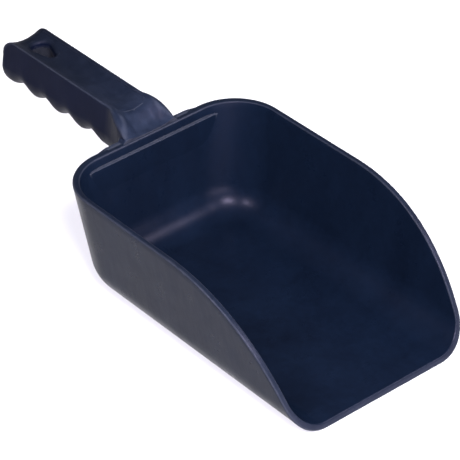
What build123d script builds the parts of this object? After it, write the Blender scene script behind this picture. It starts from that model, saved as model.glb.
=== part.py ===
from build123d import *

import os
from math import cos, radians, sin, tan

# Moulded feed scoop: a deep trough with a curved mouth and a finger-grooved hand grip.
#
# Frame: +X runs from the grip to the lip, +Z up, Y across. The origin is on the surface that
# the scoop rests on, midway between the tail of the grip and the lip. Millimetres.

# ---- driving dimensions ------------------------------------------------------------------

BOWL_LENGTH = 240.0  # rear rim to lip
GRIP_REACH = 139.5  # rear rim to tail
RIM_HEIGHT = 85.0
REAR_HALF_WIDTH = 83.5  # at the rim
WIDENING = 0.01  # growth of the half-width per millimetre towards the lip
SIDE_LEAN = 8.5  # degrees, each side wall leans out towards the rim
REAR_LEAN = 5.5
CORNER_RADIUS = 38.0  # rear corners, in plan
BELLY_RADIUS = 27.0  # where the walls turn into the floor, outside
SIDE_WALL = 4.2
REAR_WALL = 5.7
FLOOR = 5.0
RIM_ROUND = 1.2

MOUTH_START = 120.0  # the rim is level from the rear rim to here
MOUTH_SHOULDER = 67.0  # pull of the curve along the level rim
LIP_ANGLE = 66.0  # slope of the mouth where it meets the lip
LIP_PULL = 43.0

RIDGE_HEIGHT = 99.3  # crest of the two ridges along the grip
RIDGE_HALF_SPAN = 14.8
RIDGE_ROUND = 1.4
PALM_DIP = 3.5  # depth of the hollow between the ridges
GRIP_RADIUS = 17.5  # half-width of the grip, and radius of its underside
GRIP_AXIS_HEIGHT = 77.0  # centre of the rounded underside
TAIL_ROUND = 10.0  # in side view
TAIL_CORNER = 6.0  # in plan
ROOT_LENGTH = 21.0  # the grip flares over this stretch before the rear rim
ROOT_MIDDLE = 6.0
SADDLE_REACH = 4.5  # the root laps this far over the rear rim
# Ridge half-span, ridge height, dip between the ridges and half-width, at two places.
ROOT_MIDDLE_SECTION = (20.2, 92.6, 5.0, 20.5)
ROOT_END_SECTION = (21.5, 88.6, 3.0, 21.8)

FINGER_COUNT = 4
FINGER_PITCH = 25.5
FINGER_RING_RADIUS = 33.7  # the grooves wrap around the grip as inverted rings
FINGER_CURVE_RADIUS = 15.7
FINGER_AXIS_HEIGHT = 82.0
FIRST_FINGER = -43.75  # centre of the groove nearest the bowl, from the rear rim

COVER_HALF_WIDTH = 12.2
COVER_THICKNESS = 4.9
COVER_START = -131.0  # both from the rear rim
COVER_END = -14.0
COVER_GAP = 0.15
COVER_CORNER = 5.0
HOLLOW_HALF_WIDTH = 9.5
HOLLOW_FLOOR = 69.0
HOLLOW_START = -92.0
HOLLOW_END = -22.0

HANG_WIDE_RADIUS = 7.0  # the hanging hole narrows from a wide end at the tail
HANG_NARROW_RADIUS = 3.2
HANG_WIDE_AT = -115.0
HANG_NARROW_AT = -104.0
SLEEVE_WALL = 2.0

FLANGE_THICKNESS = 1.8
FLANGE_HALF_WIDTH = 40.0
FLANGE_DEPTH = 38.0
FLANGE_CORNER = 12.0
PEG_RADIUS = 3.0
PEG_SPACING = 20.0
PEG_COUNT = 4
PEG_HEIGHT = 72.0
PEG_LENGTH = 6.2  # from the rear rim
PEG_GAP = 0.1

DOUBLER_TOP = 78.5
DOUBLER_BOTTOM = 58.0
DOUBLER_FACE = 8.3  # its upright front face, from the rear rim
DOUBLER_RECESS = 1.5  # how far it is let into the rear wall
DOUBLER_HALF_WIDTH = 60.0

# ---- what follows from them --------------------------------------------------------------

LIP_LOSS = RIM_ROUND * (1 / tan(radians(LIP_ANGLE / 2)) - 1)  # rounding shortens the lip
REAR_X = (GRIP_REACH - BOWL_LENGTH + LIP_LOSS) / 2
LIP_X = REAR_X + BOWL_LENGTH
TAIL_X = REAR_X - GRIP_REACH
GRIP_LENGTH = GRIP_REACH + SADDLE_REACH
GRIP_WIDTH = ROOT_END_SECTION[3] * 2
OVERRUN = 20.0  # how far cutting shapes run past what they cut
COVER_UNDERSIDE = RIDGE_HEIGHT - PALM_DIP - COVER_THICKNESS


# ---- shapes that more than one piece is cut from -----------------------------------------


def trough_block(rear_inset, side_inset, floor_height, corner, belly, top_height):
    """The trough's solid shape, drawn in from its outer faces, longer than the scoop."""
    with BuildPart() as block:
        for height in (floor_height, top_height):
            drop = RIM_HEIGHT - height
            rear_x = REAR_X + rear_inset + drop * tan(radians(REAR_LEAN))
            front_x = LIP_X + OVERRUN
            lean = side_inset + drop * tan(radians(SIDE_LEAN))
            rear_y = REAR_HALF_WIDTH + WIDENING * (rear_x - REAR_X) - lean
            front_y = REAR_HALF_WIDTH + WIDENING * (front_x - REAR_X) - lean
            with BuildSketch(Plane.XY.offset(height)) as outline:
                with BuildLine():
                    Polyline(
                        (rear_x, -rear_y),
                        (front_x, -front_y),
                        (front_x, front_y),
                        (rear_x, rear_y),
                        close=True,
                    )
                make_face()
                fillet(outline.vertices().group_by(Axis.X)[0], corner)
        loft(ruled=True)
        floor_edges = block.faces().sort_by(Axis.Z)[0].edges()
        fillet(floor_edges.sort_by(Axis.X)[:-1], belly)
    return block.part


def grip_section(x, ridge_y, ridge_z, dip, side_y):
    """A cross-section of the grip: hollow palm, two ridges, leaning sides, round underside."""
    with BuildSketch(Plane.YZ.offset(x)) as section:
        with BuildLine():
            ThreePointArc((-ridge_y, ridge_z), (0, ridge_z - dip), (ridge_y, ridge_z))
            Line((ridge_y, ridge_z), (side_y, GRIP_AXIS_HEIGHT))
            ThreePointArc(
                (side_y, GRIP_AXIS_HEIGHT),
                (0, GRIP_AXIS_HEIGHT - GRIP_RADIUS),
                (-side_y, GRIP_AXIS_HEIGHT),
            )
            Line((-side_y, GRIP_AXIS_HEIGHT), (-ridge_y, ridge_z))
        make_face()
        fillet(section.vertices().group_by(Axis.Z)[-1], RIDGE_ROUND)
    return section.sketch


def grip_block():
    """The outer shape of the whole grip, before it is divided and hollowed."""
    root_x = REAR_X - ROOT_LENGTH
    straight = grip_section(root_x, RIDGE_HALF_SPAN, RIDGE_HEIGHT, PALM_DIP, GRIP_RADIUS)
    with BuildPart() as block:
        extrude(straight, amount=root_x - TAIL_X, dir=(-1, 0, 0))
        add(straight)
        add(grip_section(REAR_X - ROOT_MIDDLE, *ROOT_MIDDLE_SECTION))
        add(grip_section(REAR_X + SADDLE_REACH, *ROOT_END_SECTION))
        loft(ruled=True)
        # The tail is rounded in side view and in plan.
        underside = GRIP_AXIS_HEIGHT - GRIP_RADIUS
        with BuildSketch(Plane.XZ) as side_view:
            with Locations((TAIL_X, underside)):
                Rectangle(GRIP_LENGTH, RIDGE_HEIGHT - underside, align=(Align.MIN, Align.MIN))
            fillet(side_view.vertices().group_by(Axis.X)[0], TAIL_ROUND)
        extrude(amount=GRIP_WIDTH, both=True, mode=Mode.INTERSECT)
        with BuildSketch(Plane.XY) as plan_view:
            with Locations((TAIL_X, 0)):
                Rectangle(GRIP_LENGTH, GRIP_WIDTH, align=(Align.MIN, Align.CENTER))
            fillet(plan_view.vertices().group_by(Axis.X)[0], TAIL_CORNER)
        extrude(amount=RIDGE_HEIGHT * 2, mode=Mode.INTERSECT)
        # Each finger groove is the inner side of a half ring that hangs under the grip.
        for finger in range(FINGER_COUNT):
            groove_x = REAR_X + FIRST_FINGER - finger * FINGER_PITCH
            with Locations(Location((groove_x, 0, FINGER_AXIS_HEIGHT), (0, 90, 0))):
                Torus(
                    FINGER_RING_RADIUS,
                    FINGER_CURVE_RADIUS,
                    major_angle=180,
                    rotation=(0, 0, -90),
                    align=None,
                    mode=Mode.SUBTRACT,
                )
    return block.part


def hang_hole(margin, bottom, top):
    """An upright prism of the hanging hole, wider all round by the margin."""
    with BuildPart() as prism:
        with BuildSketch(Plane.XY.offset(bottom)):
            with Locations((REAR_X + HANG_WIDE_AT, 0)):
                Circle(HANG_WIDE_RADIUS + margin)
            with Locations((REAR_X + HANG_NARROW_AT, 0)):
                Circle(HANG_NARROW_RADIUS + margin)
            make_hull()
        extrude(amount=top - bottom)
    return prism.part


def cover_space(gap):
    """The opening in the top of the grip that the palm cover fills, less a gap all round."""
    start_x = REAR_X + COVER_START + gap
    end_x = REAR_X + COVER_END - gap
    half_width = COVER_HALF_WIDTH - gap
    with BuildPart() as space:
        with BuildSketch(Plane.XY.offset(COVER_UNDERSIDE)):
            with Locations(((start_x + end_x) / 2, 0)):
                RectangleRounded(end_x - start_x, half_width * 2, COVER_CORNER)
        extrude(amount=OVERRUN)
    return space.part


def peg_row(gap):
    """The row of round pegs that point from the flange into the rear wall, wider by the gap."""
    with BuildPart() as row:
        with BuildSketch(Plane.YZ.offset(REAR_X)):
            with Locations((0, PEG_HEIGHT)):
                with GridLocations(PEG_SPACING, PEG_SPACING, PEG_COUNT, 1):
                    Circle(PEG_RADIUS + gap)
        extrude(amount=PEG_LENGTH + gap)
    return row.part


outer_block = trough_block(0, 0, 0, CORNER_RADIUS, BELLY_RADIUS, RIM_HEIGHT)
inner_corner = CORNER_RADIUS - SIDE_WALL
inner_belly = BELLY_RADIUS - SIDE_WALL
inner_block = trough_block(REAR_WALL, SIDE_WALL, FLOOR, inner_corner, inner_belly, RIM_HEIGHT + 5)
grip_form = grip_block()
peg_sockets = peg_row(PEG_GAP)


# ---- rear_doubler: wedge let into the inside of the rear wall, its top edge a ledge -------

recess_block = trough_block(
    REAR_WALL - DOUBLER_RECESS, SIDE_WALL, FLOOR, inner_corner, inner_belly, RIM_HEIGHT + 5
)

with BuildPart() as doubler_blank:
    with BuildSketch(Plane.XY.offset(DOUBLER_BOTTOM)):
        with Locations((REAR_X, 0)):
            Rectangle(DOUBLER_FACE, DOUBLER_HALF_WIDTH * 2, align=(Align.MIN, Align.CENTER))
    extrude(amount=DOUBLER_TOP - DOUBLER_BOTTOM)
    add(recess_block, mode=Mode.INTERSECT)

with BuildPart() as rear_doubler:
    add(doubler_blank.part)
    add(peg_sockets, mode=Mode.SUBTRACT)


# ---- bowl: floor, two sides and the rear wall, open at the top and at the mouth -----------

lip_slope = radians(LIP_ANGLE)

with BuildPart() as bowl:
    add(outer_block)
    add(inner_block, mode=Mode.SUBTRACT)
    add(doubler_blank.part, mode=Mode.SUBTRACT)
    with BuildSketch(Plane.XZ):
        with BuildLine():
            mouth = Bezier(
                (REAR_X + MOUTH_START, RIM_HEIGHT),
                (REAR_X + MOUTH_START + MOUTH_SHOULDER, RIM_HEIGHT),
                (LIP_X - LIP_PULL * cos(lip_slope), LIP_PULL * sin(lip_slope)),
                (LIP_X, 0),
            )
            Polyline(
                mouth @ 1,
                (LIP_X + OVERRUN, 0),
                (LIP_X + OVERRUN, RIM_HEIGHT),
                mouth @ 0,
            )
        make_face()
    extrude(amount=REAR_HALF_WIDTH + OVERRUN, both=True, mode=Mode.SUBTRACT)
    # Long edges follow the rim and the mouth; the short ones only cross it.
    rim_faces = bowl.faces(Select.LAST) + bowl.faces().filter_by_position(
        Axis.Z, RIM_HEIGHT, RIM_HEIGHT
    )
    fillet(rim_faces.edges().filter_by(lambda edge: edge.length > SIDE_WALL * 2), RIM_ROUND)
    add(peg_sockets, mode=Mode.SUBTRACT)


# ---- handle_grip: channel with finger grooves, saddle over the rim, flange on the wall ----

with BuildPart() as handle_grip:
    with BuildSketch(Plane.YZ.offset(REAR_X - FLANGE_THICKNESS * 2)) as flange_outline:
        with Locations((0, RIM_HEIGHT)):
            RectangleRounded(FLANGE_HALF_WIDTH * 2, FLANGE_DEPTH * 2, FLANGE_CORNER)
    extrude(amount=OVERRUN)
    add(
        trough_block(
            -FLANGE_THICKNESS, 0, 0, CORNER_RADIUS + FLANGE_THICKNESS, BELLY_RADIUS, RIM_HEIGHT
        ),
        mode=Mode.INTERSECT,
    )
    add(grip_form)
    add(outer_block, mode=Mode.SUBTRACT)
    add(cover_space(0), mode=Mode.SUBTRACT)
    with BuildSketch(Plane.XY.offset(HOLLOW_FLOOR)):
        with Locations((REAR_X + (HOLLOW_START + HOLLOW_END) / 2, 0)):
            RectangleRounded(HOLLOW_END - HOLLOW_START, HOLLOW_HALF_WIDTH * 2, COVER_CORNER)
    extrude(amount=RIM_HEIGHT, mode=Mode.SUBTRACT)
    add(hang_hole(SLEEVE_WALL, 0, RIM_HEIGHT * 2), mode=Mode.SUBTRACT)
    add(peg_row(0))


# ---- palm_cover: the hollow-backed strip between the two ridges ---------------------------

with BuildPart() as palm_cover:
    add(grip_form)
    add(cover_space(COVER_GAP), mode=Mode.INTERSECT)
    add(hang_hole(0, 0, RIM_HEIGHT * 2), mode=Mode.SUBTRACT)


# ---- hang_sleeve: lines the hanging hole from the cover down through the tail -------------

with BuildPart() as hang_sleeve:
    add(grip_form)
    add(hang_hole(SLEEVE_WALL, 0, COVER_UNDERSIDE), mode=Mode.INTERSECT)
    add(hang_hole(0, 0, RIM_HEIGHT * 2), mode=Mode.SUBTRACT)


# ---- output ------------------------------------------------------------------------------

os.makedirs("parts", exist_ok=True)

bowl.part.label = "bowl"
export_step(bowl.part, "parts/bowl.step")

rear_doubler.part.label = "rear_doubler"
export_step(rear_doubler.part, "parts/rear_doubler.step")

handle_grip.part.label = "handle_grip"
export_step(handle_grip.part, "parts/handle_grip.step")

palm_cover.part.label = "palm_cover"
export_step(palm_cover.part, "parts/palm_cover.step")

hang_sleeve.part.label = "hang_sleeve"
export_step(hang_sleeve.part, "parts/hang_sleeve.step")
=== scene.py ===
"""Looks of the moulded feed scoop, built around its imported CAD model.

Shape functions work in millimetres: x from the rear rim towards the lip, y across, z up.
"""

from math import acos, atan, cos, pi, radians, sin, tan

import bmesh
import bpy
import numpy as np
from mathutils import Matrix, Vector


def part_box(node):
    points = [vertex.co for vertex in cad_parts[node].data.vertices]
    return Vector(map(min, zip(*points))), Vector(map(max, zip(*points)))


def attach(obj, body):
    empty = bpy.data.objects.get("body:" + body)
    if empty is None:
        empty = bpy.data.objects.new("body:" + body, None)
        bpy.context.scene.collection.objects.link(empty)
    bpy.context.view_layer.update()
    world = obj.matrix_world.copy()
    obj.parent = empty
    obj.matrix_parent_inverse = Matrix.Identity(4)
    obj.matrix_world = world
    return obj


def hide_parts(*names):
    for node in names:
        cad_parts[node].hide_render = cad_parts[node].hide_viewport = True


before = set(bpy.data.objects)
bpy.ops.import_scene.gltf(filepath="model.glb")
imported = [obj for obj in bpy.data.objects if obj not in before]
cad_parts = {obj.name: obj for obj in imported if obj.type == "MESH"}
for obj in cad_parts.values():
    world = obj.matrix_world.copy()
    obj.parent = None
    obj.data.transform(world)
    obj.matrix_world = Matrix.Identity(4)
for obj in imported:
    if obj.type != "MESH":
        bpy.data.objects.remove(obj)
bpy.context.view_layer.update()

MM = 0.001

# ---- dimensions of the trough --------------------------------------------------------------

RIM_Z = 85.0
HALF_WIDTH = 83.5  # at the rear rim
WIDENING = 0.01  # of the half-width, for each millimetre forward
SIDE_TURN = atan(WIDENING)
SIDE_LEAN = radians(8.5)
REAR_LEAN = radians(5.5)
MOUTH_X = 120.0  # where the rim starts to fall towards the lip
MOUTH_SHOULDER = 67.0  # how far the mouth's curve runs on level from there
LIP_SLOPE = radians(66.0)
LIP_PULL = 43.0  # how far it keeps the lip's slope
RIM_ROUND = 1.2
FLOOR_Z = 5.0
THIN_FROM = 225.0  # ahead of this line the inner floor is shaved down towards the lip
THIN_BY = 0.7
THIN_TOP = 26.0  # the walls keep their thickness from this height up
THIN_FADE = 18.0

_, BOWL_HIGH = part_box("bowl")
LIP_X = 240.0  # before its sharp edge is rounded
LIP_LOSS = RIM_ROUND * (1 / tan(LIP_SLOPE / 2) - 1)  # and what the rounding takes off
REAR_X = BOWL_HIGH.x / MM + LIP_LOSS - LIP_X  # the rear rim, in the row frame

# How finely the trough is divided: rows down its walls, stations along its rim.
WALL_ROWS = 14
BELLY_ROWS = 20  # the belly is the round between a wall and the floor
REAR_STATIONS = 20
CORNER_STATIONS = 24
SIDE_STATIONS = 14
MOUTH_STATIONS = 70
ARC_STEPS = 4  # in each of the rim's two roundings


def bezier(points, t):
    """A cubic Bezier curve at the parameters t, one row per parameter."""
    t = np.asarray(t, float)[:, None]
    p0, p1, p2, p3 = (np.asarray(p, float) for p in points)
    return p0 * (1 - t) ** 3 + 3 * p1 * t * (1 - t) ** 2 + 3 * p2 * t**2 * (1 - t) + p3 * t**3


MOUTH_CURVE = bezier(
    (
        (MOUTH_X, RIM_Z),
        (MOUTH_X + MOUTH_SHOULDER, RIM_Z),
        (LIP_X - LIP_PULL * cos(LIP_SLOPE), LIP_PULL * sin(LIP_SLOPE)),
        (LIP_X, 0.0),
    ),
    np.linspace(0, 1, 2001),
)


def mouth_x(z):
    """How far forward the mouth's edge is at a height."""
    return np.interp(z, MOUTH_CURVE[::-1, 1], MOUTH_CURVE[::-1, 0])


def column_rows(top_z, lean, belly_top):
    """Heights of the wall rows, then angles of the belly rows, top first."""
    heights = np.linspace(top_z, belly_top, WALL_ROWS + 1)
    angles = np.linspace(pi / 2 - lean, 0, BELLY_ROWS + 1)[1:]
    return heights, angles


class Skin:
    """The outer or the inner skin of the trough, near side only: y is negative.

    The insets are measured at the rim; corner and belly are radii.
    """

    def __init__(self, rear_inset, side_inset, floor_z, corner, belly):
        self.rear_inset = rear_inset
        self.side_inset = side_inset
        self.floor_z = floor_z
        self.corner = corner
        self.belly = belly
        self.belly_length = belly * (pi / 2 - SIDE_LEAN)
        self.belly_top = floor_z + belly * (1 - sin(SIDE_LEAN))
        self.side_length = self.belly_length + (RIM_Z - self.belly_top) / cos(SIDE_LEAN)

    def half_width(self, x, z):
        """Distance of the flat side from the centre plane."""
        return HALF_WIDTH + WIDENING * x - self.side_inset - (RIM_Z - z) * tan(SIDE_LEAN)

    def rear_x(self, z):
        """Where the flat rear wall is at a height."""
        return self.rear_inset + (RIM_Z - z) * tan(REAR_LEAN)

    def corner_centre(self, z):
        """Centre of the round corner between rear wall and side, in plan."""
        x = self.rear_x(z) + self.corner
        return x, self.corner - self.half_width(x, z)

    def side(self, length, x):
        """A point of the side, length being measured up the section from the flat floor."""
        if length < self.belly_length:
            angle = length / self.belly
            centre = self.belly * (sin(SIDE_LEAN) - 1) / cos(SIDE_LEAN)
            out = centre + self.belly * sin(angle)
            z = self.floor_z + self.belly * (1 - cos(angle))
        else:
            z = self.belly_top + (length - self.belly_length) * cos(SIDE_LEAN)
            out = (z - self.floor_z) * tan(SIDE_LEAN)
        return np.array((x, -self.half_width(x, self.floor_z) - out, z))

    def corner_column(self, turn, drop):
        """Points down the corner from a little under the rim; turn is 0 at the side."""
        normal = np.array((-sin(turn), -cos(turn)))
        lean = atan(tan(REAR_LEAN) * sin(turn) + tan(SIDE_LEAN) * cos(turn))
        belly_top = self.floor_z + self.belly * (1 - sin(lean))
        heights, angles = column_rows(RIM_Z - drop * cos(lean), lean, belly_top)
        column = []
        for z in heights:
            centre = np.array(self.corner_centre(z))
            column.append((*(centre + normal * self.corner), z))
        centre = np.array(self.corner_centre(belly_top))
        for angle in angles:
            reach = self.corner - self.belly * (cos(lean) - sin(angle))
            z = self.floor_z + self.belly * (1 - cos(angle))
            column.append((*(centre + normal * reach), z))
        return np.array(column)

    def side_column(self, share, drop):
        """Points down the straight side, share being 0 at the corner and 1 at the mouth."""
        heights, angles = column_rows(RIM_Z - drop * cos(SIDE_LEAN), SIDE_LEAN, self.belly_top)
        lengths = [self.belly_length + (z - self.belly_top) / cos(SIDE_LEAN) for z in heights]
        lengths += [self.belly * angle for angle in angles]
        column = []
        for length in lengths:
            z = max(self.side(length, 0)[2], self.belly_top)
            start = self.rear_x(z) + self.corner * (1 - sin(SIDE_TURN))
            column.append(self.side(length, start + (MOUTH_X - start) * share))
        return np.array(column)

    def mouth_column(self, length, x):
        """Points down the side under the mouth's edge, from a length up the section."""
        belly_share = self.belly_length / (self.side_length - 1.0)
        wall = np.linspace(1, belly_share, WALL_ROWS + 1)
        belly = np.linspace(belly_share, 0, BELLY_ROWS + 1)[1:]
        return np.array([self.side(length * share, x) for share in (*wall, *belly)])


def match_length(skin, place):
    """The length up a skin's section for a place: 0 to 1 on the belly, 1 to 2 on the wall."""
    if place < 1:
        return skin.belly_length * place
    return skin.belly_length + (skin.side_length - skin.belly_length) * (place - 1)


def mouth_edge(skin, places):
    """Edge points of the mouth in the skin's own (length, x) plane."""
    lengths = np.array([match_length(skin, p) for p in places])
    xs = np.array([mouth_x(skin.side(length, 0)[2]) for length in lengths])
    return lengths, xs


def even_mouth_places(skin):
    """Places from the wall's top to the lip corner, evenly spaced along the mouth's edge."""
    places = np.linspace(2, 0, 4001)
    lengths, xs = mouth_edge(skin, places)
    steps = np.hypot(np.diff(lengths), np.diff(xs))
    run = np.concatenate(([0], np.cumsum(steps)))
    return np.interp(np.linspace(0, run[-1], MOUTH_STATIONS + 1), run, places)


OUTER = Skin(rear_inset=0.0, side_inset=0.0, floor_z=0.0, corner=38.0, belly=27.0)
INNER = Skin(rear_inset=5.7, side_inset=4.2, floor_z=FLOOR_Z, corner=33.8, belly=22.8)
MOUTH_PLACES = even_mouth_places(OUTER)


def setback(edge, inward, other_edge):
    """How far from a sharp edge its rounding starts."""
    along = (other_edge - edge) / np.linalg.norm(other_edge - edge)
    inward = inward / np.linalg.norm(inward)
    half_angle = acos(float(np.clip(along @ inward, -1, 1))) / 2
    return RIM_ROUND / tan(half_angle)


def station(column_at, place, other_edge):
    """The column at a place, started where the rim's rounding ends, and its sharp edge."""
    sharp = column_at(place, 0)
    drop = setback(sharp[0], sharp[1] - sharp[0], other_edge)
    return column_at(place, drop), sharp[0]


def rear_stations(skin, other):
    """Stations of the rear wall, from the centre plane to the corner."""
    other_edge = other.corner_column(pi / 2, 0)[0]
    other_edge[1] = skin.corner_column(pi / 2, 0)[0][1]
    column, edge = station(skin.corner_column, pi / 2, other_edge)
    shares = np.arange(REAR_STATIONS) / REAR_STATIONS
    return [(column * (1, share, 1), edge * (1, share, 1)) for share in shares]


def corner_stations(skin, other):
    """Stations of the round corner."""
    turns = np.linspace(pi / 2, SIDE_TURN, CORNER_STATIONS + 1)
    return [station(skin.corner_column, turn, other.corner_column(turn, 0)[0]) for turn in turns]


def side_stations(skin, other):
    """Stations of the side, up to where the rim starts to fall."""
    shares = np.arange(1, SIDE_STATIONS) / SIDE_STATIONS
    return [station(skin.side_column, share, other.side_column(share, 0)[0]) for share in shares]


def mouth_stations(skin, other):
    """Stations under the mouth's edge, from the level rim to the lip's corner."""
    lengths, xs = mouth_edge(skin, MOUTH_PLACES)
    other_edges = [other.side(*place) for place in zip(*mouth_edge(other, MOUTH_PLACES))]
    run = np.stack((np.gradient(lengths), np.gradient(xs)), axis=1)
    run[0], run[-1] = (0, 1), (-1, 0)
    run /= np.linalg.norm(run, axis=1)[:, None]
    stations = []
    for length, x, (up, forward), other_edge in zip(lengths, xs, run, other_edges):
        edge = skin.side(length, x)
        probe = skin.side(max(length - forward * 0.01, 0), x + up * 0.01)
        drop = setback(edge, probe - edge, other_edge)
        column = skin.mouth_column(max(length - forward * drop, 0), x + up * drop)
        stations.append((column, edge))
    return stations


def skin_stations(skin, other):
    """Columns from the rear centre to the lip's corner, and their edge points."""
    stations = rear_stations(skin, other) + corner_stations(skin, other)
    stations += side_stations(skin, other) + mouth_stations(skin, other)
    columns, edges = zip(*stations)
    return np.array(columns), np.array(edges)


def rounded_edge(start, corner, end):
    """Points of the round that replaces a sharp corner, from start to end."""
    a = (start - corner) / np.linalg.norm(start - corner)
    b = (end - corner) / np.linalg.norm(end - corner)
    weight = sin(acos(float(np.clip(a @ b, -1, 1))) / 2)
    t = np.linspace(0, 1, ARC_STEPS + 1)[:, None]
    blend = ((1 - t) ** 2, 2 * weight * t * (1 - t), t**2)
    total = blend[0] + blend[1] + blend[2]
    return (blend[0] * start + blend[1] * corner + blend[2] * end) / total


def rim_section(outer_start, outer_edge, inner_start, inner_edge):
    """Points over the rim at one station, from the outer skin to the inner one."""
    along = (inner_edge - outer_edge) / np.linalg.norm(inner_edge - outer_edge)
    outer_end = outer_edge + along * np.linalg.norm(outer_start - outer_edge)
    inner_end = inner_edge - along * np.linalg.norm(inner_start - inner_edge)
    first = rounded_edge(outer_start, outer_edge, outer_end)
    second = rounded_edge(inner_end, inner_edge, inner_start)
    return np.concatenate((first, second))


def floor_grid(columns):
    """The flat floor between the centre plane and the foot of each column."""
    feet = columns[REAR_STATIONS:, -1]
    shares = np.linspace(0, 1, REAR_STATIONS + 1)
    return np.array([[foot * (1, share, 1) for share in shares] for foot in feet])


def along_lip(points):
    """Points at the stations, carried on along the lip from its corner to the centre plane."""
    shares = 1 - np.arange(1, REAR_STATIONS + 1) / REAR_STATIONS
    lip = [points[-1] * (1, share, 1) for share in shares]
    return np.concatenate((points, lip))


def half_trough():
    """Patches of the near half of the trough, as grids of points."""
    outer, outer_edges = skin_stations(OUTER, INNER)
    inner, inner_edges = skin_stations(INNER, OUTER)
    lines = (outer[:, 0], outer_edges, inner[:, 0], inner_edges)
    band = [rim_section(*points) for points in zip(*map(along_lip, lines))]
    return [outer, floor_grid(outer), np.array(band), inner, floor_grid(inner)]


def thin_lip(points):
    """Shaves the inner floor towards the lip, which leaves a faint line across it."""
    x, _, z = points.T
    forward = np.clip((x - THIN_FROM) / (LIP_X - THIN_FROM), 0, 1)
    share = np.clip(z / FLOOR_Z, 0, 1) * np.clip((THIN_TOP - z) / THIN_FADE, 0, 1)
    thinned = points.copy()
    thinned[:, 2] -= THIN_BY * forward * share
    return thinned


def mesh_from_grids(grids, mirrored=False):
    """Points and quads of a closed surface laid out as grids of points in millimetres."""
    points = []
    faces = []
    for grid in grids:
        rows, columns = grid.shape[:2]
        index = len(points) + np.arange(rows * columns).reshape(rows, columns)
        points.extend(grid.reshape(-1, 3))
        quads = np.stack((index[:-1, :-1], index[1:, :-1], index[1:, 1:], index[:-1, 1:]), axis=-1)
        faces.extend(quads.reshape(-1, 4).tolist())
    points = np.array(points)
    if mirrored:
        count = len(points)
        faces += [[corner + count for corner in face[::-1]] for face in faces]
        points = np.concatenate((points, points * (1, -1, 1)))
    return points, faces


def to_object(name, points, faces):
    """A smooth-shaded object in the row frame, in metres, welded where its patches meet."""
    points = (points + (REAR_X, 0, 0)) * MM
    mesh = bpy.data.meshes.new(name)
    mesh.from_pydata(points.tolist(), [], faces)
    shape = bmesh.new()
    shape.from_mesh(mesh)
    bmesh.ops.remove_doubles(shape, verts=shape.verts, dist=2e-6)
    bmesh.ops.dissolve_degenerate(shape, edges=shape.edges, dist=1e-6)
    bmesh.ops.recalc_face_normals(shape, faces=shape.faces)
    for face in shape.faces:
        face.smooth = True
    shape.to_mesh(mesh)
    shape.free()
    piece = bpy.data.objects.new(name, mesh)
    bpy.context.scene.collection.objects.link(piece)
    return piece


def tube(name, loops):
    """A closed surface through loops of points; the ends are capped unless the loops meet."""
    loops = np.array(loops)
    closed = np.concatenate((loops, loops[:, :1]), axis=1)
    points, faces = mesh_from_grids([closed])
    if not np.allclose(loops[0], loops[-1]):
        width = closed.shape[1]
        last = len(points) - width
        faces.append(list(range(width - 1)))
        faces.append(list(range(last, last + width - 1))[::-1])
    return to_object(name, points, faces)


def combine(piece, operation, tool):
    """Joins a tool to a piece or cuts it out, keeps the seams sharp and drops the tool."""
    modifier = piece.modifiers.new("combine", "BOOLEAN")
    modifier.operation = operation
    modifier.solver = "EXACT"
    modifier.object = tool
    bpy.context.view_layer.update()
    result = piece.evaluated_get(bpy.context.evaluated_depsgraph_get())
    mesh = bpy.data.meshes.new_from_object(result)
    piece.modifiers.clear()
    old = piece.data
    piece.data = mesh
    bpy.data.meshes.remove(old)
    bpy.data.objects.remove(tool)
    mesh.set_sharp_from_angle(angle=SHARP_ANGLE)


# ---- dimensions of the handle; x is still measured from the rear rim -----------------------

RIDGE_Z = 98.8  # before the crest is rounded off
CREST_ROUND = 1.8
RIDGE_Y = 14.8
PALM_DIP = 3.5
GRIP_RADIUS = 17.5
GRIP_AXIS_Z = 77.0
GRIP_DEPTH = 19.0  # from its axis to the crests between the fingers
TAIL_X = -139.5
TAIL_TOP = 13.0  # radii of the tail's rounding: on top, at the sides, underneath
TAIL_SIDE = 2.0
TAIL_UNDER = 10.0
TAIL_UNDER_EDGE = 1.2  # softens the creases where those roundings end
TAIL_EDGE = 0.6
SADDLE_X = 4.5  # how far the grip laps over the rear rim

# Each finger groove is cut by a ring that lies around the grip, centred above its axis.
FINGER_PITCH = 25.5
FINGER_XS = [-43.75 - FINGER_PITCH * finger for finger in range(4)]
FINGER_RADIUS = 15.7
FINGER_RING = 34.2
FINGER_AXIS_Z = 82.0
FINGER_CREST = 2.5  # softens the crests between the grooves

FOOT_ROUND = 3.5  # hollow round between the grip and its flange
FLANGE_THICKNESS = 1.8
FLANGE_BOTTOM = 46.0
FLANGE_HALF_WIDTH = 48.0
FLANGE_FULL = 33.0  # half-width of the part that has the full thickness
LET_IN = 0.3  # how deep the flange's thin edge is sunk in the wall
FLANGE_BACK = 2.4  # and how deep its back is
OVER_RIM = 0.02  # keeps the flange's top from coinciding with the rim

COVER_HALF_WIDTH = 12.2
COVER_START = -131.0
COVER_END = -14.0
COVER_CORNER = 5.0
COVER_THICKNESS = 4.9
COVER_GAP = 0.1  # between the cover and its pocket
COVER_EDGE = 0.2  # radius of its upper edge

# The hanging hole is drop-shaped, with its narrow end towards the bowl.
HANG_WIDE_X = -115.0
HANG_WIDE_RADIUS = 7.0
HANG_NARROW_X = -104.0
HANG_NARROW_RADIUS = 3.2
HANG_ROUND = 2.6  # rounding of its mouth in the palm
SLEEVE_WALL = 2.0

DOUBLER_TOP = 78.5
DOUBLER_FOOT = 52.0  # buried in the rear wall, which leans in front of it there
DOUBLER_FACE = 8.3  # its front and, at the top and the foot, its back
DOUBLER_BACK_TOP = 4.8
DOUBLER_BACK_FOOT = 6.8
DOUBLER_HALF_WIDTH = 57.0
DOUBLER_EDGE = 1.1  # rounding of its top edge

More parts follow.
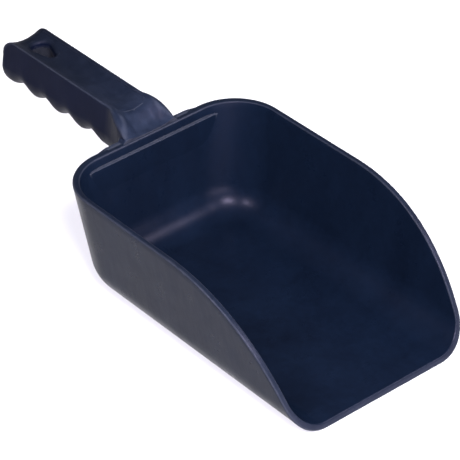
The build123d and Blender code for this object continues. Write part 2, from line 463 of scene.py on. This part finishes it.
RAY_Z = 76.0  # height of the line the grip's surface is found from
CAP_X = -119.5  # where that line's tail end is
RING_STEP = 0.9  # between two rings of the grip's mesh
POINT_STEP = 0.85  # and between two points of a ring
SHARP_ANGLE = radians(35)

# How the top of the grip falls to the rim, set against the photo: its height at
# places behind the rim (rows) and at distances from the centre plane (columns).
ROOT_START, ROOT_FULL = -32.0, -24.0  # where the table takes over from the straight palm
ROOT_XS = (-40, -21, -16, -11, -8, -5.5, -2, 1, 3, 6)
ROOT_YS = (0, 9, 14.8, 18.3, 21.5)
ROOT_TOP = np.array(
    (
        (95.5, 96.75, 99.0, 99.2, 99.2),
        (95.45, 96.7, 98.95, 98.8, 98.4),
        (95.0, 96.4, 98.8, 97.6, 96.4),
        (93.4, 95.1, 98.7, 96.6, 94.6),
        (91.0, 93.0, 98.2, 96.2, 93.6),
        (88.4, 90.4, 96.6, 95.4, 92.6),
        (86.4, 87.2, 93.0, 93.6, 91.2),
        (85.9, 86.3, 88.8, 91.0, 89.6),
        (85.8, 86.0, 87.0, 88.6, 88.0),
        (85.7, 85.8, 86.1, 86.8, 86.6),
    )
)
# How the grip widens into its root.
FLARE_XS = (-34, -24, -21, -16, -11, -6, 0, 6)
FLARE_LOW = (17.5, 17.5, 17.8, 18.5, 19.4, 20.6, 21.6, 22.2)  # half-width at the axis
FLARE_HIGH = (14.8, 14.8, 15.2, 17.2, 19.5, 20.9, 21.6, 21.9)  # and at the ridge's height


def smooth_step(value, start, end):
    """A share that eases from 0 at the start to 1 at the end."""
    share = np.clip((value - start) / (end - start), 0, 1)
    return share * share * (3 - 2 * share)


def smooth_max(a, b, radius):
    """The larger of two fields, with the crease where they cross rounded off."""
    near = np.maximum(radius - np.abs(a - b), 0) / radius
    return np.maximum(a, b) + near**2 * radius / 4


def soften(table, steps):
    """Averages a table with its neighbours along both axes, a number of times."""
    for _ in range(steps):
        padded = np.pad(table, 1, mode="edge")
        table = (padded[:-2, 1:-1] + 2 * table + padded[2:, 1:-1]) / 4
        padded = np.pad(table, 1, mode="edge")
        table = (padded[1:-1, :-2] + 2 * table + padded[1:-1, 2:]) / 4
    return table


TOP_STEP = 0.5
TOP_SOFTENING = 9
TOP_XS = np.arange(-34, 6 + TOP_STEP / 2, TOP_STEP)
TOP_YS = np.arange(-24, 24 + TOP_STEP / 2, TOP_STEP)


def root_top_table():
    """Heights of the grip's top over its root on a fine grid, with softened creases."""
    across = np.array([np.interp(np.abs(TOP_YS), ROOT_YS, row) for row in ROOT_TOP])
    table = [np.interp(TOP_XS, ROOT_XS, column) for column in across.T]
    return soften(np.array(table).T, TOP_SOFTENING)


TOP_TABLE = root_top_table()


def root_top(x, y):
    """Bilinear reading of the root's table."""
    u = np.clip((x - TOP_XS[0]) / TOP_STEP, 0, len(TOP_XS) - 1.001)
    v = np.clip((y - TOP_YS[0]) / TOP_STEP, 0, len(TOP_YS) - 1.001)
    i, j = u.astype(int), v.astype(int)
    u, v = u - i, v - j
    low = TOP_TABLE[i, j] * (1 - v) + TOP_TABLE[i, j + 1] * v
    high = TOP_TABLE[i + 1, j] * (1 - v) + TOP_TABLE[i + 1, j + 1] * v
    return low * (1 - u) + high * u


def palm_z(y):
    """Height of the straight palm: a shallow trough between the two ridges."""
    return RIDGE_Z - PALM_DIP * (1 - (y / RIDGE_Y) ** 2)


def round_fall(past, radius):
    """How far a round of that radius has fallen, a distance past its start."""
    past = np.clip(past, 0, radius)
    return radius - np.sqrt(radius**2 - past**2)


def grip_top(x, y):
    """Height of the grip's top: the palm between its ridges, falling to the rim and tail."""
    share = smooth_step(x, ROOT_START, ROOT_FULL)
    top = palm_z(y) * (1 - share) + root_top(x, y) * share
    return top - round_fall(TAIL_X + TAIL_TOP - x, TAIL_TOP)


def grip_side(x, y, z):
    """Sideways distance outside the grip's flanks, which flare at the root."""
    low = np.interp(x, FLARE_XS, FLARE_LOW)
    high = np.interp(x, FLARE_XS, FLARE_HIGH)
    upper = np.abs(y) - low - (high - low) * (z - GRIP_AXIS_Z) / (RIDGE_Z - GRIP_AXIS_Z)
    lower = GRIP_RADIUS * (np.hypot(y / low, (z - GRIP_AXIS_Z) / GRIP_DEPTH) - 1)
    side = np.where(z > GRIP_AXIS_Z, upper, lower)
    flange_x = (RIM_Z - z) * tan(REAR_LEAN) - FLANGE_THICKNESS + 0.1
    foot = round_fall(x - flange_x + FOOT_ROUND, FOOT_ROUND)
    side = side - foot * np.clip((RIM_Z + 2 - z) / 4, 0, 1)
    return side + round_fall(TAIL_X + TAIL_SIDE - x, TAIL_SIDE)


def grip_field(x, y, z):
    """Negative inside the grip, zero on its surface."""
    field = smooth_max(grip_side(x, y, z), z - grip_top(x, y), CREST_ROUND)
    ring = np.hypot(y, z - FINGER_AXIS_Z) - FINGER_RING
    reach = np.min([np.hypot(x - centre, ring) for centre in FINGER_XS], axis=0)
    field = np.where(z < FINGER_AXIS_Z, smooth_max(field, FINGER_RADIUS - reach, FINGER_CREST), field)
    back = np.maximum(TAIL_X + TAIL_UNDER - x, 0)
    down = np.maximum(GRIP_AXIS_Z - GRIP_DEPTH + TAIL_UNDER - z, 0)
    field = smooth_max(field, np.hypot(back, down) - TAIL_UNDER, TAIL_UNDER_EDGE)
    return smooth_max(field, TAIL_X - x, TAIL_EDGE)


def meet_grip(start, direction):
    """Where rays that start inside the grip leave it."""
    near = np.zeros(start.shape[:-1])
    far = np.full(start.shape[:-1], 60.0)
    for _ in range(34):
        middle = (near + far) / 2
        point = start + direction * middle[..., None]
        inside = grip_field(point[..., 0], point[..., 1], point[..., 2]) < 0
        near = np.where(inside, middle, near)
        far = np.where(inside, far, middle)
    return start + direction * near[..., None]


def section_angles(spacing):
    """Directions of rays in a section of the grip that meet it at even spacing."""
    half = [(y, palm_z(y)) for y in np.linspace(0, RIDGE_Y, 16)]
    turns = np.linspace(0, pi / 2, 30)
    half += [(GRIP_RADIUS * cos(a), GRIP_AXIS_Z - GRIP_RADIUS * sin(a)) for a in turns]
    half = np.array(half)
    run = np.concatenate(([0], np.cumsum(np.hypot(*np.diff(half, axis=0).T))))
    places = np.linspace(0, run[-1], round(run[-1] / spacing) + 1)
    angles = np.arctan2(np.interp(places, run, half[:, 1]) - RAY_Z, np.interp(places, run, half[:, 0]))
    return np.concatenate((angles, pi - angles[1:-1][::-1]))


def build_grip():
    """The grip as rings of points, from the middle of its tail to the saddle's front."""
    angles = section_angles(POINT_STEP)
    around = np.stack((np.zeros_like(angles), np.cos(angles), np.sin(angles)), axis=1)
    rings = []
    for tilt in np.radians(np.linspace(4, 90, 30)[:-1]):
        direction = around * sin(tilt) + np.array((-cos(tilt), 0, 0))
        rings.append(meet_grip(np.full(direction.shape, (CAP_X, 0, RAY_Z)), direction))
    for x in (*np.arange(CAP_X, SADDLE_X - 1.2, RING_STEP), 3.3, 3.8, 4.2, SADDLE_X):
        rings.append(meet_grip(np.full(around.shape, (x, 0, RAY_Z)), around))
    return tube("grip_body", rings)


def wall_x(y, z):
    """The trough's outer rear wall, with the start of its corners."""
    centre_x, centre_y = OUTER.corner_centre(z)
    past = np.maximum(np.abs(y) + centre_y, 0)
    return centre_x - np.sqrt(OUTER.corner**2 - past**2)


def flange_column(y):
    """A closed loop down the flange, over the rim and back up inside the wall."""
    spread = smooth_step(-abs(y), 2 - FLANGE_HALF_WIDTH, -FLANGE_FULL)
    proud = FLANGE_THICKNESS + LET_IN
    column = []
    for z in np.linspace(FLANGE_BOTTOM, RIM_Z - RIM_ROUND, 36):
        swell = proud * spread * smooth_step(z, FLANGE_BOTTOM + 1, FLANGE_BOTTOM + 9) - LET_IN
        column.append((wall_x(y, z) - swell, y, z))
    top = RIM_Z + OVER_RIM - LET_IN * (1 - spread)
    edge = wall_x(y, RIM_Z) - proud * spread + LET_IN
    for turn in np.radians(np.arange(15, 91, 15)):
        out, down = RIM_ROUND * (1 - cos(turn)), RIM_ROUND * (1 - sin(turn))
        column.append((edge + out, y, top - down))
    for z, height in ((RIM_Z, top), (RIM_Z, RIM_Z - 3), (FLANGE_BOTTOM, FLANGE_BOTTOM)):
        column.append((wall_x(y, z) + FLANGE_BACK, y, height))
    return column


def build_flange():
    """The grip's mounting pad, blended into the rear wall all round and over the rim."""
    ys = np.linspace(-FLANGE_HALF_WIDTH, FLANGE_HALF_WIDTH, 97)
    return tube("flange", [flange_column(y) for y in ys])


def cover_plan(gap):
    """A grid of plan points over the cover's rounded rectangle, finer towards its edge."""
    margins = np.array((0, 0.05, 0.1, 0.2, 0.4, 0.8, 1.3, 2.0, 2.9, 4.0, 5.0))
    start, end = COVER_START + gap, COVER_END - gap
    inner = np.arange(start + 6, end - 5.5, 0.8)
    xs = np.concatenate((start + margins, inner, (end - margins)[::-1]))
    past = np.clip(COVER_CORNER - np.minimum(xs - start, end - xs), 0, COVER_CORNER)
    half_widths = COVER_HALF_WIDTH - gap - COVER_CORNER + np.sqrt(COVER_CORNER**2 - past**2)
    fine = np.array((0.96, 0.983, 0.99, 0.996, 1))
    shares = np.concatenate((-fine[::-1], np.linspace(-0.92, 0.92, 29), fine))
    x = np.repeat(xs[:, None], len(shares), axis=1)
    y = half_widths[:, None] * shares
    border = np.minimum(half_widths[:, None] - np.abs(y), np.minimum(x - start, end - x))
    return x, y, border


def palm_heights(x, y):
    """Height of the grip's top at places in plan."""
    start = np.stack((x, y, np.full_like(x, RAY_Z)), axis=-1)
    return meet_grip(start, np.array((0.0, 0.0, 1.0)))[..., 2]


def slab(name, x, y, top, bottom):
    """A closed block between two heights over a grid in plan."""
    upper = np.stack((x, y, top), axis=-1)
    lower = np.stack((x, y, bottom), axis=-1)
    sides = [np.stack((upper[0], lower[0])), np.stack((upper[-1], lower[-1]))]
    sides += [np.stack((upper[:, 0], lower[:, 0])), np.stack((upper[:, -1], lower[:, -1]))]
    points, faces = mesh_from_grids([upper, lower, *sides])
    return to_object(name, points, faces)


def build_cover():
    """The strip that closes the palm, a hair smaller all round than its pocket."""
    x, y, border = cover_plan(COVER_GAP)
    palm = palm_heights(x, y)
    top = palm - round_fall(COVER_EDGE - border, COVER_EDGE)
    return slab("palm_cover_moulding", x, y, top, palm - COVER_THICKNESS + COVER_GAP)


def build_pocket():
    """The space cut out of the grip for the cover."""
    x, y, _ = cover_plan(0.0)
    palm = palm_heights(x, y)
    return slab("pocket", x, y, palm + 5, palm - COVER_THICKNESS)


def drop_outline(margin):
    """The hanging hole's outline, a hull of two circles, widened by a margin."""
    meet = acos((HANG_WIDE_RADIUS - HANG_NARROW_RADIUS) / (HANG_NARROW_X - HANG_WIDE_X))
    points = []
    narrow = (HANG_NARROW_X, HANG_NARROW_RADIUS + margin, np.linspace(-meet, meet, 17))
    wide = (HANG_WIDE_X, HANG_WIDE_RADIUS + margin, np.linspace(meet, 2 * pi - meet, 41))
    for x, radius, turns in (narrow, wide):
        points += [(x + radius * cos(turn), radius * sin(turn)) for turn in turns]
    return np.array(points)


def level_loop(margin, heights):
    """A loop of the hole's outline with the given height or heights."""
    outline = drop_outline(margin)
    return np.column_stack((outline, np.broadcast_to(heights, len(outline))))


def build_trumpet():
    """The space of the hanging hole through the cover, its mouth rounded over the palm."""
    loops = [level_loop(0, 60)]
    for turn in np.radians(np.linspace(0, 84, 9)):
        margin, drop = HANG_ROUND * (1 - cos(turn)), HANG_ROUND * (1 - sin(turn))
        palm = palm_heights(*drop_outline(margin).T)
        loops.append(level_loop(margin, palm - drop))
    loops.append(level_loop(HANG_ROUND, 106))
    return tube("trumpet", loops)


def build_sleeve():
    """The liner of the hole, from the cover's underside to the underside of the grip."""
    foot = ((SLEEVE_WALL, 0.6), (SLEEVE_WALL, 0.0), (1.4, -0.1), (0.8, 0.0), (0.25, 0.3), (0.0, 0.9))
    loops = []
    for margin, raised in foot:
        start = level_loop(margin, RAY_Z)
        loops.append(meet_grip(start, np.array((0.0, 0.0, -1.0))) + (0, 0, raised))
    cover_under = RIDGE_Z - PALM_DIP - COVER_THICKNESS
    loops.append(level_loop(0.0, cover_under))
    loops.append(level_loop(SLEEVE_WALL, cover_under))
    loops.append(loops[0])
    return tube("hanging_sleeve", loops)


def build_doubler():
    """The thickening inside the rear wall; its back is let into the wall."""
    section = [(DOUBLER_BACK_FOOT, DOUBLER_FOOT), (DOUBLER_BACK_TOP, DOUBLER_TOP)]
    for turn in np.radians(np.linspace(90, 0, 8)):
        across, down = DOUBLER_EDGE * (1 - cos(turn)), DOUBLER_EDGE * (1 - sin(turn))
        section.append((DOUBLER_FACE - across, DOUBLER_TOP - down))
    section += [(DOUBLER_FACE, z) for z in np.linspace(DOUBLER_TOP - 2, DOUBLER_FOOT, 10)]
    section = np.array(section)
    loops = []
    for y in np.linspace(-DOUBLER_HALF_WIDTH, DOUBLER_HALF_WIDTH, 39):
        loops.append(np.column_stack((section[:, 0], np.full(len(section), y), section[:, 1])))
    return tube("rear_wall_doubler", loops)


points, faces = mesh_from_grids(half_trough(), mirrored=True)
trough = to_object("trough", thin_lip(points), faces)
grip_body = build_grip()
combine(grip_body, "UNION", build_flange())
combine(grip_body, "DIFFERENCE", build_pocket())
bore = tube("bore", [level_loop(SLEEVE_WALL, 40), level_loop(SLEEVE_WALL, 110)])
combine(grip_body, "DIFFERENCE", bore)
cover = build_cover()
combine(cover, "DIFFERENCE", build_trumpet())
sleeve = build_sleeve()
sleeve.data.set_sharp_from_angle(angle=SHARP_ANGLE)
doubler = build_doubler()
doubler.data.set_sharp_from_angle(angle=SHARP_ANGLE)


# ---- materials -----------------------------------------------------------------------------


def noise(tree, scale, detail, roughness, stretch=(1, 1, 1)):
    """A noise texture over the object's own coordinates, in metres."""
    nodes, links = tree.nodes, tree.links
    place = nodes.new("ShaderNodeTexCoord")
    mapping = nodes.new("ShaderNodeMapping")
    mapping.inputs["Scale"].default_value = stretch
    texture = nodes.new("ShaderNodeTexNoise")
    texture.inputs["Scale"].default_value = scale
    texture.inputs["Detail"].default_value = detail
    texture.inputs["Roughness"].default_value = roughness
    links.new(place.outputs["Object"], mapping.inputs["Vector"])
    links.new(mapping.outputs["Vector"], texture.inputs["Vector"])
    return texture.outputs["Fac"]


def ramp(tree, value, stops):
    """A colour ramp over a value, from (position, colour) stops."""
    node = tree.nodes.new("ShaderNodeValToRGB")
    elements = node.color_ramp.elements
    while len(elements) < len(stops):
        elements.new(0.5)
    for element, (position, colour) in zip(elements, stops):
        element.position = position
        element.color = (*colour, 1)
    tree.links.new(value, node.inputs["Fac"])
    return node.outputs["Color"]


def blend(tree, mode, share, first, second):
    """Two colours mixed; the share is a number or an output."""
    node = tree.nodes.new("ShaderNodeMix")
    node.data_type = "RGBA"
    node.blend_type = mode
    if isinstance(share, (int, float)):
        node.inputs["Factor"].default_value = share
    else:
        tree.links.new(share, node.inputs["Factor"])
    tree.links.new(first, node.inputs["A"])
    tree.links.new(second, node.inputs["B"])
    return node.outputs["Result"]


def grey(level):
    """A colour without hue."""
    return (level, level, level)


def map_range(tree, value, start, end):
    """A value mapped to 0 at the start and 1 at the end."""
    node = tree.nodes.new("ShaderNodeMapRange")
    node.inputs["From Min"].default_value = start
    node.inputs["From Max"].default_value = end
    tree.links.new(value, node.inputs["Value"])
    return node.outputs["Result"]


def separate(tree, vector):
    """The X, Y and Z of a vector."""
    node = tree.nodes.new("ShaderNodeSeparateXYZ")
    tree.links.new(vector, node.inputs["Vector"])
    return node.outputs


def bump(tree, height, strength, distance, before=None):
    """A normal tilted by a height; before is the bump that it goes on top of."""
    node = tree.nodes.new("ShaderNodeBump")
    node.inputs["Strength"].default_value = strength
    node.inputs["Distance"].default_value = distance
    tree.links.new(height, node.inputs["Height"])
    if before is not None:
        tree.links.new(before, node.inputs["Normal"])
    return node.outputs["Normal"]


def paint_top_light(tree, colour, top_light_mottle):
    """Painted light: faces that point up are painted paler and mottled, and more so from the tail to
    the handle's root.
    """
    normal = tree.nodes.new("ShaderNodeNewGeometry").outputs["Normal"]
    # Painted light: up-facing faces take the paler colours.
    facing_up = map_range(tree, separate(tree, normal)["Z"], 0.1, 0.75)
    place = tree.nodes.new("ShaderNodeTexCoord").outputs["Object"]
    along = map_range(tree, separate(tree, place)["X"], -0.19, -0.045)
    lit_mottle = ramp(tree, noise(tree, 70, 5, 0.65), ((0.3, top_light_mottle[0]), (0.7, top_light_mottle[1])))
    # Painted light: brighter from the tail towards the handle's root.
    shades = ((0.0, grey(0.35)), (0.5, grey(0.55)), (0.8, grey(0.8)), (1.0, grey(1.0)))
    root_light_gradient = ramp(tree, along, shades)
    return blend(tree, "MIX", facing_up, colour, blend(tree, "MULTIPLY", 1.0, lit_mottle, root_light_gradient))


def painted_edge_highlights(tree, colour, speckle, edge_highlight_strength):
    """Convex edges painted pale as a painted highlight; the last argument is how much of the colour
    goes.
    """
    pointiness = tree.nodes.new("ShaderNodeNewGeometry").outputs["Pointiness"]
    # Painted highlight: convex edges painted paler.
    edge_highlight = ramp(tree, pointiness, ((0.515, grey(0)), (0.56, grey(edge_highlight_strength)), (0.64, grey(edge_highlight_strength * 0.2))))
    highlight_colour = ramp(tree, speckle, ((0.3, (0.05, 0.055, 0.08)), (0.7, (0.09, 0.09, 0.115))))
    return blend(tree, "MIX", edge_highlight, colour, highlight_colour)


def moulded_plastic(name, dark, light, roughness, specular, grain, edge_highlight_strength, top_light_mottle=None):
    """Satin plastic: cloudy colour, blotchy gloss, fine mould grain and painted highlights on convex
    edges.

    The optional pair of paler colours is painted on faces that point up: mottled, and painted light.
    """
    material = bpy.data.materials.new(name)
    material.use_nodes = True
    tree = material.node_tree
    shader = tree.nodes["Principled BSDF"]
    shader.inputs["IOR"].default_value = 1.49
    shader.inputs["Specular IOR Level"].default_value = specular
    shader.inputs["Specular Tint"].default_value = (0.78, 0.68, 1, 1)
    speckle = noise(tree, 260, 4, 0.7)
    colour = ramp(tree, noise(tree, 22, 6, 0.6, (1, 1, 0.35)), ((0.3, dark), (0.7, light)))
    if top_light_mottle:
        colour = paint_top_light(tree, colour, top_light_mottle)
    mottle = ramp(tree, speckle, ((0.3, grey(0.88)), (0.7, grey(1.12))))
    colour = blend(tree, "MULTIPLY", 1.0, colour, mottle)
    tree.links.new(painted_edge_highlights(tree, colour, speckle, edge_highlight_strength), shader.inputs["Base Color"])
    gloss = ((0.3, grey(roughness - 0.06)), (0.7, grey(roughness + 0.07)))
    tree.links.new(ramp(tree, noise(tree, 60, 5, 0.65), gloss), shader.inputs["Roughness"])
    fine = bump(tree, noise(tree, 1500, 3, 0.6), grain, 0.0001)
    waves = bump(tree, noise(tree, 90, 3, 0.5, (1, 1, 0.3)), grain, 0.0006, fine)
    tree.links.new(waves, shader.inputs["Normal"])
    return material


GRIP_DARK, GRIP_LIGHT = (0.0008, 0.0015, 0.0056), (0.0014, 0.0024, 0.0085)
# Paler mottled colours for the grip's up-facing faces: painted light, brightening towards the root.
TOP_LIGHT_MOTTLE = ((0.004, 0.006, 0.0135), (0.009, 0.012, 0.024))
bowl_navy = moulded_plastic(
    "bowl_navy",
    dark=(0.0013, 0.0025, 0.0067),
    light=(0.002, 0.004, 0.0105),
    roughness=0.31,
    specular=0.058,
    grain=0.35,
    edge_highlight_strength=0.4,
)
grip_navy = moulded_plastic(
    "grip_navy",
    dark=GRIP_DARK,
    light=GRIP_LIGHT,
    roughness=0.42,
    specular=0.03,
    grain=0.4,
    edge_highlight_strength=0.22,
    top_light_mottle=TOP_LIGHT_MOTTLE,
)
cover_navy = moulded_plastic(
    "cover_navy",
    dark=GRIP_DARK,
    light=GRIP_LIGHT,
    roughness=0.46,
    specular=0.042,
    grain=0.6,
    edge_highlight_strength=0.1,
    top_light_mottle=TOP_LIGHT_MOTTLE,
)
# The sleeve's colours are darker than the grip's: painted shade inside the hanging hole.
shaded_sleeve_navy = moulded_plastic(
    "shaded_sleeve_navy",
    dark=(0.0008, 0.001, 0.003),
    light=(0.0014, 0.0018, 0.005),
    roughness=0.3,
    specular=0.05,
    grain=0.2,
    edge_highlight_strength=0.2,
)

# Each piece with the CAD node it replaces, its slot and its material.
PIECES = (
    (trough, "bowl", "bowl_plastic", bowl_navy),
    (doubler, "rear_doubler", "bowl_plastic", bowl_navy),
    (grip_body, "handle_grip", "grip_plastic", grip_navy),
    (cover, "palm_cover", "grip_plastic", cover_navy),
    (sleeve, "hang_sleeve", "sleeve_plastic", shaded_sleeve_navy),
)
for piece, node, slot, material in PIECES:
    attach(piece, "root")
    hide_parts(node)
    piece.data.materials.clear()
    piece.data.materials.append(material)


# ---- stage, light and camera ---------------------------------------------------------------

FLOOR_REACH = 4.0
LIGHT_AIM = Vector((0, 0, 0.05))
CAMERA_AIM = Vector((0.038177, -0.001643, 0.05))
CAMERA_DISTANCE = 2.132025
CAMERA_AZIMUTH = radians(-40.38517)
CAMERA_ELEVATION = radians(35.83167)
CAMERA_ROLL = radians(0.40214)
CAMERA_LENS = 251.22  # mm, on the usual 36 mm sensor


def make_floor():
    """A large pale floor that glows a little, so that it stays white behind the object."""
    mesh = bpy.data.meshes.new("floor")
    corners = [(FLOOR_REACH * x, FLOOR_REACH * y, 0) for x, y in ((-1, -1), (1, -1), (1, 1), (-1, 1))]
    mesh.from_pydata(corners, [], [(0, 1, 2, 3)])
    floor = bpy.data.objects.new("floor", mesh)
    floor.location.z = -0.0001  # clear of the scoop's underside
    bpy.context.scene.collection.objects.link(floor)
    material = bpy.data.materials.new("pale_floor")
    material.use_nodes = True
    shader = material.node_tree.nodes["Principled BSDF"]
    shader.inputs["Base Color"].default_value = (0.3, 0.3, 0.3, 1)
    shader.inputs["Roughness"].default_value = 0.8
    shader.inputs["Emission Color"].default_value = (1, 0.96, 1.12, 1)
    shader.inputs["Emission Strength"].default_value = 0.58
    mesh.materials.append(material)


def area_light(name, position, size, power):
    """A soft rectangular light that faces the scoop."""
    lamp = bpy.data.lights.new(name, "AREA")
    lamp.shape = "RECTANGLE"
    lamp.size, lamp.size_y = size
    lamp.energy = power
    holder = bpy.data.objects.new(name, lamp)
    bpy.context.scene.collection.objects.link(holder)
    holder.location = position
    direction = LIGHT_AIM - Vector(position)
    holder.rotation_mode = "QUATERNION"
    holder.rotation_quaternion = direction.to_track_quat("-Z", "Y")


def make_world():
    """A dim studio, open and bright ahead of the scoop's mouth near the horizon."""
    world = bpy.data.worlds.new("studio")
    world.use_nodes = True
    tree = world.node_tree
    place = tree.nodes.new("ShaderNodeTexCoord")
    direction = separate(tree, place.outputs["Generated"])
    ahead = ramp(tree, direction["X"], ((0.35, grey(0.0)), (0.95, grey(1.0))))
    low = ramp(tree, direction["Z"], ((0.08, grey(1.0)), (0.42, grey(0.0))))
    glow = blend(tree, "MULTIPLY", 1.0, ahead, low)
    base = ramp(tree, direction["Z"], ((0.0, grey(0.018)), (1.0, grey(0.01))))
    total = blend(tree, "ADD", 1.0, base, glow)
    background = tree.nodes["Background"]
    tree.links.new(total, background.inputs["Color"])
    background.inputs["Strength"].default_value = 16.0
    bpy.context.scene.world = world


def make_camera():
    """The long lens of the product shot, from above, ahead and to the near side."""
    level = cos(CAMERA_ELEVATION)
    back = Vector((level * cos(CAMERA_AZIMUTH), level * sin(CAMERA_AZIMUTH), sin(CAMERA_ELEVATION)))
    across = Vector((0, 0, 1)).cross(back).normalized()
    right = across * cos(CAMERA_ROLL) - back.cross(across) * sin(CAMERA_ROLL)
    camera = bpy.data.objects.new("camera", bpy.data.cameras.new("camera"))
    bpy.context.scene.collection.objects.link(camera)
    basis = Matrix((right, back.cross(right), back)).transposed().to_4x4()
    camera.matrix_world = Matrix.Translation(CAMERA_AIM + back * CAMERA_DISTANCE) @ basis
    camera.data.lens = CAMERA_LENS
    camera.data.clip_start = 0.1
    camera.data.clip_end = 20
    bpy.context.scene.camera = camera


make_floor()
make_world()
area_light("front_box", (1.243, -0.622, 1.489), (0.55, 0.45), 112)
area_light("side_box", (0.125, -1.433, 1.439), (0.5, 0.45), 46)
area_light("far_box", (1.16, 0.81, 1.46), (0.9, 0.6), 42)
make_camera()
bpy.context.scene.view_settings.view_transform = "Standard"
